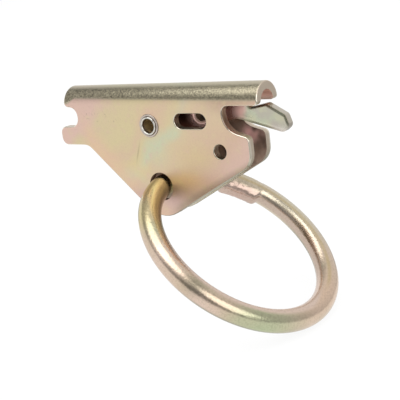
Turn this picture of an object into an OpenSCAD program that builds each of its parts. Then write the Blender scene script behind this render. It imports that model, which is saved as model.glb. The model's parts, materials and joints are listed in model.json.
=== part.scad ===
// Cargo-track fitting: a folded steel body that hooks into a track slot,
// a sprung latch that locks it there, and a welded round ring for the strap.
// X runs along the folded roll, Y through the thickness with the front plate at -Y, Z up.
// The origin is the middle of the track slot, level with the lips that bear on the track.

/* [Body] */
// Length of the half-round roll, end to end
roll_len = 75; // [74:0.5:80]
// Thickness of the folded body over both plates
body_thk = 12; // [11.6:0.1:13]
// Thickness of the sheet
sheet = 2.5; // [2.2:0.05:2.6]
// Height of the fold's axis above the bearing lips
fold_axis_z = 0.2; // [0:0.05:0.6]
// Radius on the free corner of the roll's lip over the track notch
notch_lip_r = 1.8; // [0.6:0.1:2.2]
// Radius on the free corner of the roll's lip over the hook mouth
mouth_lip_r = 1.2; // [0.6:0.1:1.8]

/* [Track notch] */
// Height of the notch that takes one end of the track slot
notch_h = 6.4; // [5:0.1:7]
// Flat left between the notch's two corner arcs
notch_flat = 0.4; // [0.2:0.1:1]
// Distance from the origin to the bottom of the notch
notch_reach = 32.3; // [31:0.1:33]
// Distance from the origin to the tip of the lower lip
lower_lip_reach = 40.6; // [39:0.1:43]
// Height of the lower lip
lower_lip_h = 6.2; // [5.5:0.1:7.5]
// Radius on the lower lip's corners
lower_lip_r = 2.4; // [1:0.1:2.7]
// Radius where the lower lip runs into the sloping edge
lower_lip_fillet = 4.5; // [2:0.5:8]

/* [Hook mouth] */
// Distance from the origin to the deep end of the mouth
mouth_reach = 25.1; // [24:0.1:27]
// Radius in the mouth's upper corner
mouth_top_r = 2.1; // [1:0.1:2.6]
// Radius in the mouth's lower corner
mouth_low_r = 6; // [4:0.5:6.5]
// Depth of the mouth's lower corner below the lips
mouth_low_z = 7.1; // [6.9:0.1:9]
// Fall of the lobe's upper edge, in degrees
lobe_fall = 15; // [8:1:22]
// Distance from the origin to the lobe's outer edge
lobe_reach = 33.5; // [32:0.1:36]
// Radius on the lobe's upper corner
lobe_top_r = 1.7; // [1:0.1:2.2]
// Radius on the lobe's lower corner
lobe_low_r = 6; // [3:0.5:8]

/* [Nose and holes] */
// Ring hole, distance along the roll from the origin
ring_hole_x = -0.9; // [-3:0.1:3]
// Ring hole, depth below the lips
ring_hole_z = 25.4; // [24:0.1:28]
// Diameter of the ring hole
ring_hole_d = 9; // [8.6:0.1:10]
// Radius of the nose round the ring hole
nose_r = 9.8; // [8.5:0.1:11]
// Slope of the body's left edge, in degrees
left_slope = 42.6; // [38:0.2:48]
// Slope of the body's right edge, in degrees
right_slope = 29; // [25:0.5:33]
// Small hole, distance along the roll from the origin
small_hole_x = 23; // [20:0.1:26]
// Small hole, depth below the lips
small_hole_z = 13.7; // [12:0.1:16]
// Diameter of the small hole
small_hole_d = 4.3; // [3.5:0.1:5]
// Spring slot in the front plate, distance of its middle from the origin
slot_x = 13.3; // [12:0.1:15]
// Spring slot, depth of its middle below the lips
slot_z = 4.5; // [4:0.1:6]
// Length of the spring slot
slot_len = 11.7; // [9:0.1:14]
// Width of the spring slot
slot_w = 4.6; // [3.5:0.1:5]

/* [Pivot rivet] */
// Pivot, distance along the roll from the origin
pivot_x = -2.5; // [-5:0.1:0]
// Pivot, depth below the lips
pivot_z = 5.9; // [5.5:0.1:6.5]
// Diameter of the rivet's shank
shank_d = 6; // [5.4:0.1:6.2]
// Diameter of the rivet's bore
rivet_bore_d = 4.4; // [3.8:0.1:4.8]
// Diameter of the rivet's rolled head
head_d = 7.4; // [7:0.1:9]
// Height of the rivet's rolled head
head_h = 0.7; // [0.5:0.1:1.2]
// Radial clearance of the shank in the plates
shank_gap = 0.03; // [0.01:0.01:0.06]

/* [Latch] */
// Thickness of the latch
latch_thk = 2.9; // [2.5:0.1:3]
// Clearance between the latch and the back plate
latch_back_gap = 0.35; // [0.3:0.05:0.5]
// Radial clearance of the latch on the rivet
pivot_gap = 0.06; // [0.02:0.01:0.1]
// Radius of the latch round its pivot
boss_r = 6; // [5.5:0.1:6.4]
// Travel of the latch when it is pressed, in degrees
press = 12; // [9:0.5:13]
// Clearance under the fold where the latch stops, at rest and pressed
stop_gap = 0.4; // [0.3:0.05:0.6]
// Length of the heel behind the pivot, which stops the press
heel_len = 11.5; // [10:0.1:12]
// Height of the heel
heel_h = 4.5; // [3.5:0.1:5.5]
// Radius on the heel's corners
heel_r = 1.3; // [0.8:0.1:1.6]
// Shoulder that blocks the track's edge, distance from the origin
shoulder_reach = 30.2; // [29:0.1:31]
// Radius on the shoulder and in the dip beside it
shoulder_r = 0.8; // [0.4:0.1:1]
// Lean of the shoulder's face along the roll
shoulder_lean = 0.4; // [0.2:0.1:0.8]
// Depth of the dip beside the shoulder, below the lips
dip_z = 1.8; // [1.4:0.1:2.4]
// Crest at the end of the dip, distance inside the end of the roll
crest_in = 0.9; // [0.2:0.1:1.5]
// Depth of the crest below the lips
crest_z = 0.55; // [0.4:0.05:1]
// Radius on the crest
crest_r = 1.5; // [0.8:0.1:2]
// Distance the nose stands out past the end of the roll
tip_past = 6.2; // [4.5:0.1:7]
// Depth of the nose's tip below the lips
tip_z = 7.3; // [7:0.1:8]
// Height of the nose's blunt end
tip_h = 3.4; // [2.4:0.1:3.6]
// Lean of the nose's blunt end along the roll
tip_lean = 1.1; // [0.5:0.1:1.4]
// Depth of the nose's underside below the lips
tip_low_z = 9.1; // [8.8:0.1:10]
// Length of the nose's underside behind its tip
tip_len = 2.2; // [2:0.1:3]
// Radius on the nose's corners
tip_r = 1.6; // [0.8:0.1:1.7]
// Neck under the mouth, distance from the origin
neck_x = 26; // [24:0.1:28]
// Depth of the neck's underside below the lips
neck_z = 5; // [4.2:0.1:5.5]
// Radius under the neck
neck_r = 6; // [2:0.5:12]
// Spring hole in the latch, distance from the origin
hook_hole_x = 13.1; // [12:0.1:14]
// Spring hole in the latch, depth below the lips
hook_hole_z = 3.7; // [3.4:0.1:4.5]
// Diameter of the spring hole in the latch
hook_hole_d = 4.2; // [3.5:0.1:4.5]

/* [Latch spring] */
// Diameter of the spring wire
wire_d = 0.8; // [0.6:0.05:0.9]
// Clearance of the coil on the rivet
coil_gap = 0.5; // [0.4:0.05:0.8]
// Whole turns of the coil
coil_turns = 2; // [1:1:2]
// Clearance at each end of the coil
coil_end_gap = 0.1; // [0.05:0.01:0.2]
// Radius of the bend at the hooked leg's end
hook_bend_r = 1.2; // [1:0.1:1.4]
// Length of the leg that bears under the fold
fixed_leg = 13; // [9:0.5:15]
// Clearance of the legs from what they bear on
leg_gap = 0.05; // [0.02:0.01:0.1]

/* [Ring] */
// Diameter of the ring's bar
bar_d = 7; // [6:0.1:7.4]
// Inside diameter of the ring
ring_id = 54; // [52:0.5:60]
// Swing of the ring from level, in degrees
ring_swing = 39.2; // [0:0.2:90]
// Extra thickness of the weld collar, on the radius
weld_rise = 0.9; // [0.1:0.05:1.1]
// Shift of the weld collar towards the middle of the ring
weld_shift = 0.9; // [0:0.05:1]
// Place of the weld seam round the ring from the hole, in degrees
weld_at = 67; // [60:1:180]
// Length of the weld collar round the ring, in degrees
weld_arc = 27; // [8:1:36]

/* [Hidden] */

// Facets on true round surfaces and on rounded corners
$fn = 96;
corner_steps = 8;
// Overlap that lets a cut pass clear of a face
past = 1;

half_thk = body_thk / 2;
inner_r = half_thk - sheet;
roll_end = roll_len / 2;
roll_top = fold_axis_z + half_thk;
pivot = [pivot_x, -pivot_z];
ring_hole = [ring_hole_x, -ring_hole_z];
lower_lip_z = -notch_h - lower_lip_h;
notch_r = (notch_h - notch_flat) / 2;

// Latch, across the gap between the plates
latch_back = inner_r - latch_back_gap;
latch_front = latch_back - latch_thk;
// Height under the fold at the latch's back face, where the latch stops
roof_z = fold_axis_z + sqrt(pow(inner_r, 2) - pow(latch_back, 2));
stop_z = roof_z - stop_gap;
// The heel's top comes up to the same height at the end of the press
heel_z = pivot.y + (stop_z - pivot.y - heel_len * sin(press)) / cos(press);

// Coil, between the front plate and the latch
coil_r = shank_d / 2 + coil_gap + wire_d / 2;
coil_front = -inner_r + coil_end_gap + wire_d / 2;
coil_back = latch_front - coil_end_gap - wire_d / 2;
wire_sides = 6;
turn_rings = 12;
bend_rings = 4;
// Height where the fixed leg bears under the fold, above the pivot
fixed_z = fold_axis_z - pivot.y
    + sqrt(pow(inner_r - wire_d / 2 - leg_gap, 2) - pow(coil_front, 2));
// Place where the hooked leg bears on top of the latch's spring hole, from the pivot
hook = [hook_hole_x, -hook_hole_z + (hook_hole_d - wire_d) / 2 - leg_gap] - pivot;
// Angles round the pivot where the two legs leave the coil
fixed_angle = 90 + atan2(coil_r, fixed_leg) - asin(fixed_z / norm([coil_r, fixed_leg]));
hook_angle = atan2(hook.y, hook.x) + acos(coil_r / norm(hook));
coil_sweep = fixed_angle - hook_angle + 360 * coil_turns;
coil_steps = ceil(coil_sweep / 360 * turn_rings);

// Ring, measured from the middle of its bar
ring_r = (ring_id + bar_d) / 2;
// The bar bows across the body, so the ring's centre sits this much nearer to even out the play
plate_in = sqrt(pow(ring_r + bar_d / 2, 2) - pow(inner_r, 2));
plate_out = sqrt(pow(ring_r - bar_d / 2, 2) - pow(half_thk, 2));
ring_reach = (plate_in + plate_out) / 2;

// Meeting point of two edges, each given by its outward normal and its distance from the origin
function meet(n1, d1, n2, d2) =
    let (det = n1.x * n2.y - n1.y * n2.x)
    [(d1 * n2.y - d2 * n1.y) / det, (n1.x * d2 - n2.x * d1) / det];

function unit(v) = v / norm(v);

// Arc that rounds the corner b between a and c with radius r
function corner(a, b, c, r) =
    let (
        to_a = unit(a - b),
        to_c = unit(c - b),
        half = acos(to_a * to_c) / 2,
        centre = b + unit(to_a + to_c) * r / sin(half),
        start = b + to_a * r / tan(half) - centre,
        turn = sign(to_a.x * to_c.y - to_a.y * to_c.x) * (2 * half - 180),
        steps = max(2, ceil(corner_steps * abs(turn) / 90))
    )
    [for (i = [0 : steps])
        let (t = -turn * i / steps)
        centre + [start.x * cos(t) + start.y * sin(t), start.y * cos(t) - start.x * sin(t)]];

// Outline from corners [x, z, radius], with each corner rounded
function rounded(pts) =
    let (n = len(pts), xy = [for (p = pts) [p.x, p.y]])
    [for (i = [0 : n - 1])
        each pts[i].z > 0
            ? corner(xy[(i + n - 1) % n], xy[i], xy[(i + 1) % n], pts[i].z)
            : [xy[i]]];

// Outline drawn in X and Z, made solid between two places along Y
module slab(y0, y1) {
    translate([0, y1, 0])
        rotate([90, 0, 0])
            linear_extrude(height = y1 - y0)
                children();
}

// Round hole or pin along Y
module across(at, d, y0, y1) {
    translate([at.x, y1, at.y])
        rotate([90, 0, 0])
            cylinder(d = d, h = y1 - y0);
}

// Section of the fold: two plates joined by a half round
module fold_section(r, bottom) {
    circle(r = r);
    translate([-r, bottom])
        square([2 * r, -bottom]);
}

// Side view of the blank: roll, track notch, nose, lobe and hook mouth
left_normal = [-sin(left_slope), -cos(left_slope)];
right_normal = [sin(right_slope), -cos(right_slope)];
lobe_normal = [sin(lobe_fall), cos(lobe_fall)];
left_edge = left_normal * ring_hole + nose_r;
right_edge = right_normal * ring_hole + nose_r;
lobe_edge = lobe_normal * [mouth_reach, -mouth_low_z];
nose = meet(left_normal, left_edge, right_normal, right_edge);
lip_root = meet(left_normal, left_edge, [0, -1], -lower_lip_z);
lobe_low = meet(right_normal, right_edge, [1, 0], lobe_reach);
lobe_top = meet(lobe_normal, lobe_edge, [1, 0], lobe_reach);

module blank_outline() {
    polygon(rounded([
        [-roll_end, roll_top + past, 0],
        [-roll_end, 0, notch_lip_r],
        [-notch_reach, 0, notch_r],
        [-notch_reach, -notch_h, notch_r],
        [-lower_lip_reach, -notch_h, lower_lip_r],
        [-lower_lip_reach, lower_lip_z, lower_lip_r],
        [lip_root.x, lip_root.y, lower_lip_fillet],
        [nose.x, nose.y, nose_r],
        [lobe_low.x, lobe_low.y, lobe_low_r],
        [lobe_top.x, lobe_top.y, lobe_top_r],
        [mouth_reach, -mouth_low_z, mouth_low_r],
        [mouth_reach, 0, mouth_top_r],
        [roll_end, 0, mouth_lip_r],
        [roll_end, roll_top + past, 0]
    ]));
}

module body_shell() {
    bottom = nose.y - fold_axis_z;
    span = 2 * (lower_lip_reach + past);
    color([0.80, 0.69, 0.55])
        difference() {
            intersection() {
                translate([-span / 2, 0, fold_axis_z])
                    rotate([90, 0, 90])
                        linear_extrude(height = span)
                            difference() {
                                fold_section(half_thk, bottom);
                                fold_section(inner_r, bottom - past);
                            }
                slab(-half_thk - past, half_thk + past)
                    blank_outline();
            }
            across(ring_hole, ring_hole_d, -half_thk - past, half_thk + past);
            across(pivot, shank_d + 2 * shank_gap, -half_thk - past, half_thk + past);
            across([small_hole_x, -small_hole_z], small_hole_d, -half_thk - past, half_thk + past);
            slab(-half_thk - past, 0)
                spring_slot();
        }
}

module spring_slot() {
    run = slot_len - slot_w;
    translate([slot_x, -slot_z]) {
        square([run, slot_w], center = true);
        for (side = [-1, 1])
            translate([side * run / 2, 0])
                circle(d = slot_w);
    }
}

// Half of the rivet in section, with the head rolled over like a thick lip
module rivet_section() {
    roll_r = head_h / 2;
    translate([rivet_bore_d / 2, -half_thk])
        square([(shank_d - rivet_bore_d) / 2, body_thk]);
    for (side = [-1, 1])
        translate([0, side * (half_thk + roll_r)]) {
            translate([rivet_bore_d / 2, -roll_r])
                square([head_d / 2 - roll_r - rivet_bore_d / 2, 2 * roll_r]);
            translate([head_d / 2 - roll_r, 0])
                circle(r = roll_r);
        }
}

module pivot_rivet() {
    color([0.86, 0.85, 0.80])
        translate([pivot.x, 0, pivot.y])
            rotate([-90, 0, 0])
                rotate_extrude()
                    rivet_section();
}

// Point where a line from p touches the underside of a circle
function touch_below(c, r, p) =
    let (v = p - c, a = atan2(v.y, v.x) - acos(r / norm(v)))
    c + r * [cos(a), sin(a)];

module latch_outline() {
    heel_x = pivot.x - heel_len;
    tip_x = roll_end + tip_past;
    neck = [neck_x, -neck_z];
    under = touch_below(pivot, boss_r, neck);
    polygon(rounded([
        [heel_x, heel_z, heel_r],
        [heel_x, heel_z - heel_h, heel_r],
        [pivot.x, pivot.y - boss_r, 0],
        [under.x, under.y, 0],
        [neck.x, neck.y, neck_r],
        [tip_x - tip_len, -tip_low_z, tip_r],
        [tip_x, -tip_z, tip_r],
        [tip_x - tip_lean, tip_h - tip_z, tip_r],
        [roll_end - crest_in, -crest_z, crest_r],
        [shoulder_reach + shoulder_lean, -dip_z, shoulder_r],
        [shoulder_reach, stop_z, shoulder_r]
    ]));
    translate(pivot)
        circle(r = boss_r);
}

module latch() {
    color([0.74, 0.74, 0.64])
        difference() {
            slab(latch_front, latch_back)
                latch_outline();
            across(pivot, shank_d + 2 * pivot_gap, latch_front - past, latch_back + past);
            across([hook_hole_x, -hook_hole_z], hook_hole_d, latch_front - past, latch_back + past);
        }
}

// Tube of wire swept along a path, one polyhedron with closed ends
module wire(path, d, sides) {
    n = len(path);
    points = [for (i = [0 : n - 1])
        let (
            t = unit(path[min(i + 1, n - 1)] - path[max(i - 1, 0)]),
            side = unit(cross(t, abs(t.y) > 0.8 ? [-1, 0, 0] : [0, 1, 0])),
            up = cross(side, t)
        )
        each [for (k = [0 : sides - 1])
            path[i] + d / 2 * (side * cos(360 * k / sides) + up * sin(360 * k / sides))]];
    walls = [for (i = [0 : n - 2], k = [0 : sides - 1])
        let (a = i * sides + k, b = i * sides + (k + 1) % sides)
        each [[a, b, b + sides], [a, b + sides, a + sides]]];
    first = [for (k = [1 : sides - 2]) [0, k + 1, k]];
    far = (n - 1) * sides;
    last = [for (k = [1 : sides - 2]) [far, far + k, far + k + 1]];
    polyhedron(points = points, faces = concat(walls, first, last));
}

// Middle of the wire: the fixed leg, the coil, the hooked leg and the hook through the latch
function on_coil(angle, y) = [coil_r * cos(angle), y, coil_r * sin(angle)];
fixed_tip = on_coil(fixed_angle, coil_front)
    + fixed_leg * [-sin(fixed_angle), 0, cos(fixed_angle)];
coil_path = [for (i = [0 : coil_steps])
    on_coil(fixed_angle - coil_sweep * i / coil_steps,
            coil_front + (coil_back - coil_front) * i / coil_steps)];
hook_path = [for (i = [0 : bend_rings])
    let (t = 90 * i / bend_rings)
    [hook.x - hook_bend_r * (1 - sin(t)), coil_back + hook_bend_r * (1 - cos(t)), hook.y]];
spring_path = [for (p = concat([fixed_tip], coil_path, hook_path, [[hook.x, latch_back, hook.y]]))
    p + [pivot.x, 0, pivot.y]];

// Least gap between turns, on points at least half a turn apart
least_gap = min([for (i = [0 : coil_steps], j = [i + turn_rings / 2 : 1 : coil_steps])
    norm(coil_path[j] - coil_path[i])]) - wire_d;
echo(least_gap = least_gap);

module latch_spring() {
    color([0.62, 0.60, 0.55])
        wire(spring_path, wire_d, wire_sides);
}

module ring() {
    color([0.78, 0.69, 0.44])
        translate([ring_hole.x, 0, ring_hole.y])
            rotate([0, ring_swing, 0])
                translate([ring_reach, 0, 0])
                    rotate([0, 0, 180]) {
                        rotate_extrude()
                            translate([ring_r, 0])
                                circle(d = bar_d);
                        rotate([0, 0, -weld_at])
                            rotate_extrude(angle = weld_arc)
                                translate([ring_r - weld_shift, 0])
                                    circle(d = bar_d + 2 * weld_rise);
                    }
}

body_shell();
pivot_rivet();
latch();
latch_spring();
ring();
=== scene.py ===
# %% [markdown]
# # A cargo-track fitting with a round ring
#
# The fitting is pressed from one sheet of steel, folded over a half-round roll, and plated in yellow zinc.
# A sprung latch on a hollow rivet locks it into a track slot, and a welded ring hangs through its nose.
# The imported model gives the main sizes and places. The lesson copies or rebuilds each piece with the soft
# edges that a press leaves, and then paints the plating, which is never one colour: it blooms gold, pink
# and green.

import json
import math

import bmesh
import bpy
from mathutils import Matrix, Vector

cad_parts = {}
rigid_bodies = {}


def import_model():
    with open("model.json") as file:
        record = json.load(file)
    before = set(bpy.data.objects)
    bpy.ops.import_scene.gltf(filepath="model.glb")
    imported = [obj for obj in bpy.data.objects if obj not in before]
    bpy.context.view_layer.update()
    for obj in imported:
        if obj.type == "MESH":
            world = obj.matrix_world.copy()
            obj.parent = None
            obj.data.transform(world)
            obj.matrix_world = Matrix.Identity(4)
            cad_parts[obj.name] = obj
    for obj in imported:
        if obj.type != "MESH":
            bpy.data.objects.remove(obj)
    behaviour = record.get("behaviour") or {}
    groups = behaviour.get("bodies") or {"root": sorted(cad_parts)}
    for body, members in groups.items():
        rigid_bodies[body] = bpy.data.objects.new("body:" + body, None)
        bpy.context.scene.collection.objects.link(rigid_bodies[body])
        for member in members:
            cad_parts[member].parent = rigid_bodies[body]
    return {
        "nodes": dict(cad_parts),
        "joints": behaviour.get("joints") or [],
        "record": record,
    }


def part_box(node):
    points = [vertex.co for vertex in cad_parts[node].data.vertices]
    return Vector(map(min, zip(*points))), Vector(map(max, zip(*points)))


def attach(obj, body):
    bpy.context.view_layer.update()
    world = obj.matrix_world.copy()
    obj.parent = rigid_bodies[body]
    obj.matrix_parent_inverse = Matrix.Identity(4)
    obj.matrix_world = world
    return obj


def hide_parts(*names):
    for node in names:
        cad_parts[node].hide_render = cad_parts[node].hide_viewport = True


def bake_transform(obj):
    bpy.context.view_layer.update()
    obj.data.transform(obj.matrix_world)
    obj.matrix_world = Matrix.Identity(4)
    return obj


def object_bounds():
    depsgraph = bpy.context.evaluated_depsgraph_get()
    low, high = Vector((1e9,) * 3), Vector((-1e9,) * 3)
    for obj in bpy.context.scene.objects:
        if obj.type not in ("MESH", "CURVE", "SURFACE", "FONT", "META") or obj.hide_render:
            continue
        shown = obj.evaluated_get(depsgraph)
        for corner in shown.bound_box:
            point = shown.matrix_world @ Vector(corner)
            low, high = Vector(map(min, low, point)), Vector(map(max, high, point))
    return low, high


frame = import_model()
cad_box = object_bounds()
MM = 0.001
print("nodes:", sorted(frame["nodes"]))

# %% [markdown]
# ## Tools for the bench
#
# Blender's operators act on whatever is selected, so each step starts from a clear selection. Four small
# helpers clear it, pick one piece, open a piece in edit mode, and apply a modifier.

# %% Helpers for selecting and applying
def deselect_all():
    """Leaves edit mode and clears the selection."""
    active = bpy.context.view_layer.objects.active
    if active and active.mode != "OBJECT":
        bpy.ops.object.mode_set(mode="OBJECT")
    bpy.ops.object.select_all(action="DESELECT")


def pick(piece):
    """Makes one piece the only selected and active object."""
    deselect_all()
    piece.select_set(True)
    bpy.context.view_layer.objects.active = piece


def open_mesh(piece, mode="EDGE"):
    """Opens one piece in edit mode and returns its mesh for selecting."""
    pick(piece)
    bpy.ops.object.mode_set(mode="EDIT")
    bpy.ops.mesh.select_mode(type=mode)
    bpy.ops.mesh.select_all(action="DESELECT")
    return bmesh.from_edit_mesh(piece.data)


def apply_modifier(piece, kind, **settings):
    """Adds one modifier with its settings and applies it."""
    pick(piece)
    modifier = piece.modifiers.new(kind.title(), kind)
    for name, value in settings.items():
        setattr(modifier, name, value)
    bpy.ops.object.modifier_apply(modifier=modifier.name)


# %% [markdown]
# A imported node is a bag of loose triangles. A copy is merged into one skin, and flat areas are dissolved
# into single faces, so that later bevels run along clean edges.

# %% Copy a node as clean faces
MERGE = 0.001 * MM
FLAT = math.radians(0.5)


def clean_copy(node, name):
    """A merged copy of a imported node, under a new name, with no ties to the original."""
    piece = frame["nodes"][node].copy()
    piece.data = piece.data.copy()
    piece.name = name
    piece.parent = None
    bpy.context.scene.collection.objects.link(piece)
    for tie in [key for key in piece.keys() if key.startswith("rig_")]:
        del piece[tie]
    pick(piece)
    bpy.ops.mesh.customdata_custom_splitnormals_clear()
    bpy.ops.object.mode_set(mode="EDIT")
    bpy.ops.mesh.select_all(action="SELECT")
    bpy.ops.mesh.remove_doubles(threshold=MERGE)
    bpy.ops.object.mode_set(mode="OBJECT")
    return piece


def merge_flats(piece):
    """Joins the triangles of each flat area into one face."""
    open_mesh(piece)
    bpy.ops.mesh.select_all(action="SELECT")
    bpy.ops.mesh.dissolve_limited(angle_limit=FLAT)
    bpy.ops.object.mode_set(mode="OBJECT")


def smooth(piece, angle=40):
    """Smooth shading over bends up to an angle in degrees, with flats kept flat beside a bevel."""
    pick(piece)
    bpy.ops.object.shade_smooth_by_angle(angle=math.radians(angle))
    apply_modifier(piece, "WEIGHTED_NORMAL", keep_sharp=True, weight=100)


# %% [markdown]
# ## The folded body
#
# A press blanks the body flat, pierces its holes and then folds it. The edge that the punch enters first
# is drawn round, and the other stays nearly square. A bevel can't run across the creases of a folded copy,
# so the copy is unrolled to the flat blank, bevelled there, cut into strips where it bends, and rolled up
# again.

# %% Unroll and roll the blank
_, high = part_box("body_shell")
ROLL_R = high.y
ROLL_Z = high.z - ROLL_R
BACK_START = ROLL_Z + math.pi * ROLL_R


def unroll(point):
    """Place of a point of the folded sheet on the flat blank, which lies in the front plate's plane."""
    if point.z > ROLL_Z:
        turn = math.atan2(point.z - ROLL_Z, -point.y)
        return Vector((point.x, -math.hypot(point.y, point.z - ROLL_Z), ROLL_Z + turn * ROLL_R))
    if point.y < 0:
        return point.copy()
    return Vector((point.x, -point.y, BACK_START + ROLL_Z - point.z))


def roll_up(point):
    """The way back, from the flat blank to the folded sheet."""
    if point.z <= ROLL_Z:
        return point.copy()
    if point.z >= BACK_START:
        return Vector((point.x, -point.y, ROLL_Z + BACK_START - point.z))
    turn = (point.z - ROLL_Z) / ROLL_R
    return Vector((point.x, point.y * math.cos(turn), ROLL_Z - point.y * math.sin(turn)))


def move_points(piece, place):
    """Moves every vertex to the place that a function gives."""
    for vertex in piece.data.vertices:
        vertex.co = place(vertex.co)
    piece.data.update()


body = clean_copy("body_shell", "folded_body")
move_points(body, unroll)
merge_flats(body)
print("flat blank:", len(body.data.polygons), "faces,", round(body.dimensions.z / MM, 1), "mm long")

# %% [markdown]
# The round edge is on the outside of the fold, where the punch went in. The inner one, and the hole that
# the ring has worn, stay nearly square. Each sharp edge is found by its angle and gets its own width as a
# bevel weight.

# %% Round the blank's edges
swing_joint = next(joint for joint in frame["joints"] if joint["name"] == "ring_swing")
HOLE = Vector(swing_joint["pos_m"])
SHEET = 2.5 * MM
OUTER_ROUND = 0.4 * MM
INNER_ROUND = 0.12 * MM
HOLE_ROUND = 0.05 * MM
HOLE_REACH = 6 * MM
SHARP = math.radians(50)
BODY_STEPS = 5


def edge_width(middle):
    """Width of the rounding for an edge of the flat blank, from where its middle is."""
    place = roll_up(middle)
    if math.hypot(place.x - HOLE.x, place.z - HOLE.z) < HOLE_REACH:
        return HOLE_ROUND
    return OUTER_ROUND if middle.y < -ROLL_R + SHEET / 2 else INNER_ROUND


def round_edges(piece, width_of, widest, segments):
    """Bevels each sharp edge by the width that a function gives for its middle."""
    mesh = open_mesh(piece)
    weights = mesh.edges.layers.float.new("bevel_weight_edge")
    for edge in mesh.edges:
        middle = (edge.verts[0].co + edge.verts[1].co) / 2
        if edge.is_manifold and edge.calc_face_angle(0) > SHARP:
            edge[weights] = width_of(middle) / widest
    bpy.ops.object.mode_set(mode="OBJECT")
    apply_modifier(
        piece, "BEVEL", limit_method="WEIGHT", width=widest, segments=segments, use_clamp_overlap=False)


round_edges(body, edge_width, OUTER_ROUND, BODY_STEPS)
print("rounded blank:", len(body.data.polygons), "faces")

# %% [markdown]
# While the blank is flat, its cut edges are easy to tell from its skins: their normals lie in the sheet.
# They get a second material slot, because a sheared edge is brighter and rougher than the rolled skin. The
# skin that ends up inside the fold gets a third, for a deeper colour that is partly the film of a slowly
# draining bath and partly painted shade.

# %% Mark the cut edges and the inner skin
SKIN, CUT, INSIDE = 0, 1, 2
BODY_FLAT = 0.95


def mark_faces(piece, inner, flat):
    """Gives each face its material slot by how nearly it lies in the sheet."""
    for face in piece.data.polygons:
        facing = face.normal.y
        face.material_index = CUT if abs(facing) < flat else inner if facing > 0 else SKIN
    marks = [face.material_index for face in piece.data.polygons]
    return {name: marks.count(slot) for name, slot in (("skin", SKIN), ("cut", CUT), ("inside", INSIDE))}


print("faces of the body:", mark_faces(body, INSIDE, BODY_FLAT))

# %% [markdown]
# To bend, the blank needs lines across it. It is cut into narrow strips over the length of the half
# circle, and then each point goes to its place on the folded sheet.

# %% Fold the blank
STRIPS = 32

open_mesh(body)
for strip in range(STRIPS + 1):
    bpy.ops.mesh.select_all(action="SELECT")
    line = ROLL_Z + math.pi * ROLL_R * strip / STRIPS
    bpy.ops.mesh.bisect(plane_co=(0, 0, line), plane_no=(0, 0, 1))
bpy.ops.object.mode_set(mode="OBJECT")
move_points(body, roll_up)
smooth(body)
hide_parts("body_shell")
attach(body, "body")
print("folded body:", len(body.data.polygons), "faces")

# %% [markdown]
# ## The latch
#
# The latch is stamped from thicker strip and stays flat, so its copy needs no unrolling. The die draws the
# rim of its front face down in a broad shallow slope. To make it, the front face is sunk by the slope's
# depth, and then three insets raise it again, each gentler than the one outside it. Small bevels round the
# corners.

# %% Round the latch
latch_low, latch_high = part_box("latch")
LATCH_MIDDLE = (latch_low.y + latch_high.y) / 2
DRAWN_RIM = [(0.5 * MM, 0.21 * MM), (0.28 * MM, 0.09 * MM), (0.16 * MM, 0.02 * MM)]
LATCH_FRONT_ROUND = 0.05 * MM
LATCH_BACK_ROUND = 0.22 * MM
LATCH_STEPS = 3
LATCH_FLAT = 0.5
LATCH_CREASE = 18
FACING_FRONT = -0.9


def latch_width(middle):
    """Width of the rounding for an edge of the latch, which is finer at the front."""
    return LATCH_FRONT_ROUND if middle.y < LATCH_MIDDLE else LATCH_BACK_ROUND


latch = clean_copy("latch", "latch_arm")
merge_flats(latch)
mesh = open_mesh(latch, "FACE")
for face in mesh.faces:
    face.select_set(face.normal.y < FACING_FRONT)
bmesh.update_edit_mesh(latch.data)
bpy.ops.transform.translate(value=(0, sum(depth for width, depth in DRAWN_RIM), 0))
for width, depth in DRAWN_RIM:
    bpy.ops.mesh.inset(thickness=width, depth=depth)
round_edges(latch, latch_width, LATCH_BACK_ROUND, LATCH_STEPS)
print("faces of the latch:", mark_faces(latch, SKIN, LATCH_FLAT))
smooth(latch, LATCH_CREASE)
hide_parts("latch")
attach(latch, "latch")
print("latch:", len(latch.data.polygons), "faces")

# %% [markdown]
# ## The hollow rivet
#
# The rivet is a tube whose ends are rolled over the plates. A half section, drawn as a line, is spun round
# the pivot. A low bead lies on the plate, and past a groove a taller lip stands up and curls into the
# bore.

# %% Draw the rivet's section
rivet_low, rivet_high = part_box("pivot_rivet")
PIVOT = Vector(((rivet_low.x + rivet_high.x) / 2, 0, (rivet_low.z + rivet_high.z) / 2))
HEAD_R = (rivet_high.x - rivet_low.x) / 2
HEAD_TOP = rivet_high.y
PLATE_Y = ROLL_R
SHANK_R = 3.0 * MM
BORE_R = 2.2 * MM
BEAD_HEIGHT = 0.34 * MM
BEAD_R = 3.28 * MM
GROOVE_R = 2.95 * MM
LIP_R = 2.55 * MM
BEAD_TURN = 140


def arc(centre, across, along, start, stop, steps=8):
    """Points of an arc with two half widths, between two angles in degrees."""
    turns = [math.radians(start + (stop - start) * step / steps) for step in range(steps + 1)]
    return [(centre[0] + across * math.cos(turn), centre[1] + along * math.sin(turn)) for turn in turns]


half = [(SHANK_R, 0), (SHANK_R, PLATE_Y)]
half += arc((BEAD_R, PLATE_Y), HEAD_R - BEAD_R, BEAD_HEIGHT, 0, BEAD_TURN)
groove = half[-1][1]
half += arc((LIP_R, groove), GROOVE_R - LIP_R, HEAD_TOP - groove, 0, 90)
half += arc((LIP_R, PLATE_Y), LIP_R - BORE_R, HEAD_TOP - PLATE_Y, 90, 180)[1:]
half += [(BORE_R, 0)]
print("rivet section:", 2 * len(half), "points")

# %% [markdown]
# A curve through points gives the line, and the spring will need one too, so the helper can also thicken
# it to wire. After the spin, the first and last sections lie on each other and are merged.

# %% Spin the rivet
SPIN_STEPS = 64
WIRE_FACETS = 3


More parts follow.
